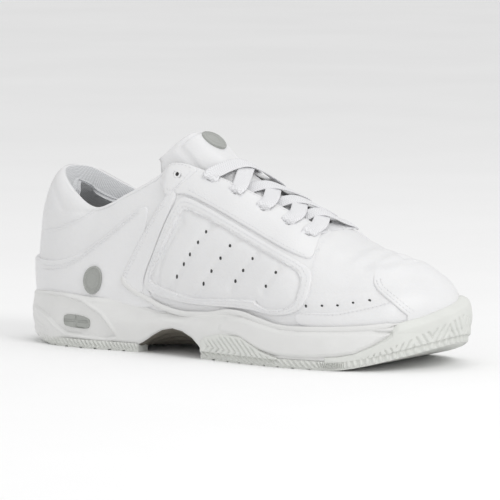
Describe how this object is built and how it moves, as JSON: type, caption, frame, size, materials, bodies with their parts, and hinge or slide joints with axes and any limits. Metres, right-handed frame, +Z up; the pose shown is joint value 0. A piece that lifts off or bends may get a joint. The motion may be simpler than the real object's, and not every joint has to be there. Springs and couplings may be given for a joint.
{
  "type": "court shoe",
  "caption": "Low-cut leather court shoe, right foot: layered upper with a framed side panel, padded tongue, flat lace, cup sole and herringbone tread.",
  "frame": {"origin": "on the floor, at the middle of the shoe's length and width", "axes": "+X to the toe, +Y to the inner (medial) side of a right foot, +Z up"},
  "size_m": [0.3075, 0.115, 0.1355],
  "materials": {
    "leather_base": "soft full-grain, low sheen",
    "leather_overlay": "coated leather, satin",
    "sole_rubber": "matte non-marking rubber",
    "midsole_foam": "moulded foam, satin skin",
    "stabiliser_plastic": "moulded, satin",
    "shank_plastic": "dark moulded",
    "grey_trim": "metallic grey, satin",
    "cushion_gel": "soft moulded",
    "stiff_board": "pressed fibre",
    "padding_foam": "open-cell foam",
    "lining_fabric": "brushed knit",
    "lace_fabric": "flat woven",
    "aglet_plastic": "clear tip"
  },
  "bodies": {
    "shoe": {"outsole_forefoot": "sole_rubber", "outsole_heel": "sole_rubber", "side_tread_lateral": "sole_rubber", "side_tread_medial": "sole_rubber", "toe_guard": "sole_rubber", "midsole": "midsole_foam", "heel_cushion": "cushion_gel", "shank_plate": "shank_plastic", "heel_stabiliser_lateral": "stabiliser_plastic", "heel_stabiliser_medial": "stabiliser_plastic", "heel_insert_lateral": "grey_trim", "heel_insert_medial": "grey_trim", "sidewall_lateral": "midsole_foam", "sidewall_medial": "midsole_foam", "insole_board": "stiff_board", "heel_counter": "stiff_board", "toe_puff": "stiff_board", "vamp": "leather_base", "toe_cap": "leather_overlay", "vamp_rand_lateral": "leather_overlay", "vamp_rand_medial": "leather_overlay", "quarter_lateral": "leather_base", "quarter_medial": "leather_base", "side_panel_lateral": "leather_base", "side_panel_medial": "leather_base", "panel_frame_lateral": "leather_overlay", "panel_frame_medial": "leather_overlay", "eyestay_lateral": "leather_overlay", "eyestay_medial": "leather_overlay", "eyelet_tab_lateral": "leather_overlay", "eyelet_tab_medial": "leather_overlay", "saddle_strap_lateral": "leather_overlay", "saddle_strap_medial": "leather_overlay", "heel_overlay": "leather_overlay", "achilles_collar": "leather_overlay", "heel_badge_lateral": "grey_trim", "heel_badge_medial": "grey_trim", "collar_foam": "padding_foam", "collar_lining": "lining_fabric", "vamp_lining": "lining_fabric", "lace": "lace_fabric", "lace_aglets": "aglet_plastic"},
    "tongue": {"tongue_cover": "leather_base", "tongue_foam": "padding_foam", "tongue_lining": "lining_fabric"},
    "tongue_top": {"tongue_top_cover": "leather_base", "tongue_top_foam": "padding_foam", "tongue_top_lining": "lining_fabric", "tongue_badge": "grey_trim"},
    "sockliner": {"sockliner": "padding_foam", "sockliner_fabric": "lining_fabric"}
  },
  "joints": [
    {"name": "tongue_swing", "type": "hinge", "parent": "shoe", "child": "tongue", "pos_m": [0.064, 0, 0.0725], "axis": [0, 1, 0], "range_deg": [-9, 0]},
    {"name": "tongue_top_fold", "type": "hinge", "parent": "tongue", "child": "tongue_top", "pos_m": [-0.0145, 0, 0.1175], "axis": [0, 1, 0], "range_deg": [0, 25]},
    {"name": "sockliner_lift", "type": "hinge", "parent": "shoe", "child": "sockliner", "pos_m": [0.1415, 0, 0.024], "axis": [0, 1, 0], "range_deg": [0, 6]}
  ]
}
